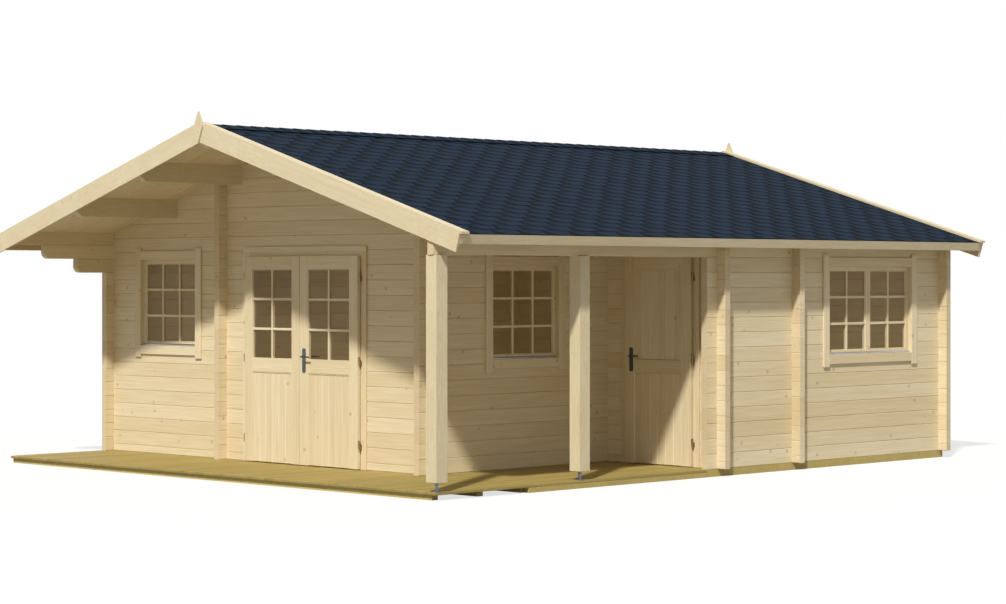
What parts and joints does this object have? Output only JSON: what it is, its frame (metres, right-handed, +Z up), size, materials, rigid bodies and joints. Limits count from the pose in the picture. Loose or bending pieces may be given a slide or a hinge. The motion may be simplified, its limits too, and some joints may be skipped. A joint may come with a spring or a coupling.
{
  "type": "garden shed",
  "caption": "log garden house with a low gable roof, a covered front terrace, a corner porch on posts, glazed double doors, a boarded side door and barred windows",
  "frame": {"origin": "on the ground under the front wall's axis, in the middle of the double doorway", "axes": "+X to the right seen from the front, +Y into the house, +Z up"},
  "size_m": [6.8, 7.54, 3.3494],
  "materials": {
    "wall_logs": "planed, clear stain",
    "deck_wood": "planed",
    "bearer_wood": "pressure treated",
    "roof_wood": "planed",
    "shingle": "mineral granules",
    "trim_wood": "planed, clear stain",
    "door_wood": "planed, clear stain",
    "glass": "clear",
    "handle_metal": "satin",
    "galvanised": "zinc coated"
  },
  "bodies": {
    "house": {"sill_bearers": "bearer_wood", "deck_bearers": "bearer_wood", "terrace_deck": "deck_wood", "porch_deck": "deck_wood", "room_floor": "deck_wood", "left_wall": "wall_logs", "right_wall": "wall_logs", "right_plate": "wall_logs", "front_wall_left": "wall_logs", "front_wall_right": "wall_logs", "front_gable": "wall_logs", "porch_side_wall": "wall_logs", "porch_back_wall_left": "wall_logs", "porch_back_wall_right": "wall_logs", "porch_back_gable": "wall_logs", "partition_walls": "wall_logs", "back_wall": "wall_logs", "purlins": "wall_logs", "roof_boards_left": "roof_wood", "roof_boards_right": "roof_wood", "shingles_left": "shingle", "shingles_right": "shingle", "ridge_cap": "shingle", "front_barge_boards": "trim_wood", "back_barge_boards": "trim_wood", "verge_caps": "trim_wood", "eaves_fascias": "trim_wood", "gable_finials": "trim_wood", "porch_posts": "wall_logs", "post_feet": "galvanised", "front_window_frame": "trim_wood", "porch_window_frame": "trim_wood", "side_window_frame": "trim_wood", "window_sashes": "trim_wood", "window_glass": "glass", "double_door_frame": "trim_wood", "porch_door_frame": "trim_wood", "door_hinge_pins": "galvanised"},
    "left_leaf": {"left_door_leaf": "door_wood", "left_door_glass": "glass", "left_leaf_hinges": "galvanised"},
    "right_leaf": {"right_door_leaf": "door_wood", "right_door_glass": "glass", "right_door_handle": "handle_metal", "right_leaf_hinges": "galvanised"},
    "porch_leaf": {"porch_door_leaf": "door_wood", "porch_door_handle": "handle_metal", "porch_leaf_hinges": "galvanised"}
  },
  "joints": [
    {"name": "left_leaf_hinge", "type": "hinge", "parent": "house", "child": "left_leaf", "pos_m": [-0.826, -0.08, 1.046], "axis": [0, 0, -1], "range_deg": [0, 110]},
    {"name": "right_leaf_hinge", "type": "hinge", "parent": "house", "child": "right_leaf", "pos_m": [0.826, -0.08, 1.046], "axis": [0, 0, 1], "range_deg": [0, 110]},
    {"name": "porch_leaf_hinge", "type": "hinge", "parent": "house", "child": "porch_leaf", "pos_m": [2.7905, 2.32, 1.046], "axis": [0, 0, 1], "range_deg": [0, 100]}
  ]
}
